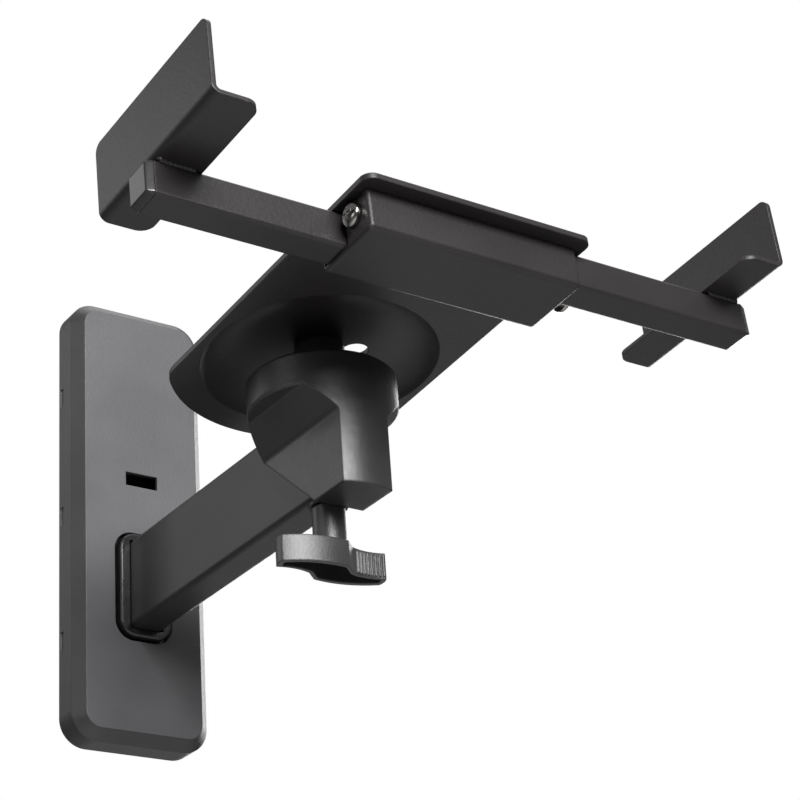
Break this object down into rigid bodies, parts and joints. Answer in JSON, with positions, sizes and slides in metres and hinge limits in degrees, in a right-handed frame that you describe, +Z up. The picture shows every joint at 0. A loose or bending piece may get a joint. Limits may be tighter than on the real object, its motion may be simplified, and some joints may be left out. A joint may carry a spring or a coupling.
{
  "type": "speaker wall bracket",
  "caption": "Wall arm with a swivelling, tilting clamp plate whose two sliding jaws grip the sides of a bookshelf loudspeaker.",
  "frame": {"origin": "centre of the steel wall plate's back, on the wall's face", "axes": "+Y into the wall, +Z up, +X along the wall to the right as seen from the room; the arm reaches out along -Y"},
  "size_m": [0.2832, 0.3223, 0.2264],
  "materials": {
    "black_steel": "satin black powder coat on steel",
    "black_cast": "satin black paint on a casting",
    "grey_plastic": "fine matt moulded texture, dark grey",
    "knob_plastic": "satin moulded black",
    "cap_plastic": "satin moulded black",
    "zinc_steel": "bright zinc plate",
    "bolt_steel": "blackened steel",
    "screw_steel": "nickel-plated steel",
    "brass": "plain turned brass"
  },
  "bodies": {
    "base": {"wall_plate": "zinc_steel", "wall_cover": "grey_plastic", "arm_collar": "grey_plastic", "arm_tube": "black_steel", "arm_head": "black_cast", "clamp_bolt": "bolt_steel"},
    "knob": {"clamp_knob": "knob_plastic", "knob_insert": "brass", "knob_washer": "bolt_steel"},
    "swivel": {"saddle_washer": "black_cast"},
    "platform": {"top_plate": "black_steel", "slide_channel": "black_steel"},
    "right_slide": {"right_bar": "black_steel", "right_bar_nut": "zinc_steel", "right_bar_cap": "cap_plastic", "right_jaw": "black_steel"},
    "left_slide": {"left_bar": "black_steel", "left_bar_nut": "zinc_steel", "left_bar_cap": "cap_plastic", "left_jaw": "black_steel"},
    "front_adjuster": {"front_screw": "screw_steel"},
    "rear_adjuster": {"rear_screw": "screw_steel"}
  },
  "joints": [
    {"name": "knob_turn", "type": "hinge", "parent": "base", "child": "knob", "pos_m": [0, -0.18, -0.07], "axis": [0, 0, 1], "continuous": true},
    {"name": "swivel_turn", "type": "hinge", "parent": "base", "child": "swivel", "pos_m": [0, -0.18, 0.0117], "axis": [0, 0, 1], "range_deg": [-45, 45]},
    {"name": "tilt", "type": "hinge", "parent": "swivel", "child": "platform", "pos_m": [0, -0.18, 0.0117], "axis": [1, 0, 0], "range_deg": [-5.3, 14.7]},
    {"name": "front_screw_turn", "type": "hinge", "parent": "platform", "child": "front_adjuster", "pos_m": [-0.054, -0.28662, 0.01091], "axis": [-1, 0, 0], "range_deg": [-23472, 3888]},
    {"name": "rear_screw_turn", "type": "hinge", "parent": "platform", "child": "rear_adjuster", "pos_m": [0.054, -0.27137, 0.00966], "axis": [1, 0, 0], "range_deg": [-20520, 6840]},
    {"name": "right_jaw_slide", "type": "slide", "parent": "platform", "child": "right_slide", "axis": [1, 0, 0], "range_m": [-0.0652, 0.0108]},
    {"name": "left_jaw_slide", "type": "slide", "parent": "platform", "child": "left_slide", "axis": [-1, 0, 0], "range_m": [-0.057, 0.019]}
  ],
  "couplings": [
    {"joint": "front_screw_turn", "follows": "right_jaw_slide", "rad_per_m": 6283.1},
    {"joint": "rear_screw_turn", "follows": "left_jaw_slide", "rad_per_m": 6283.1}
  ]
}
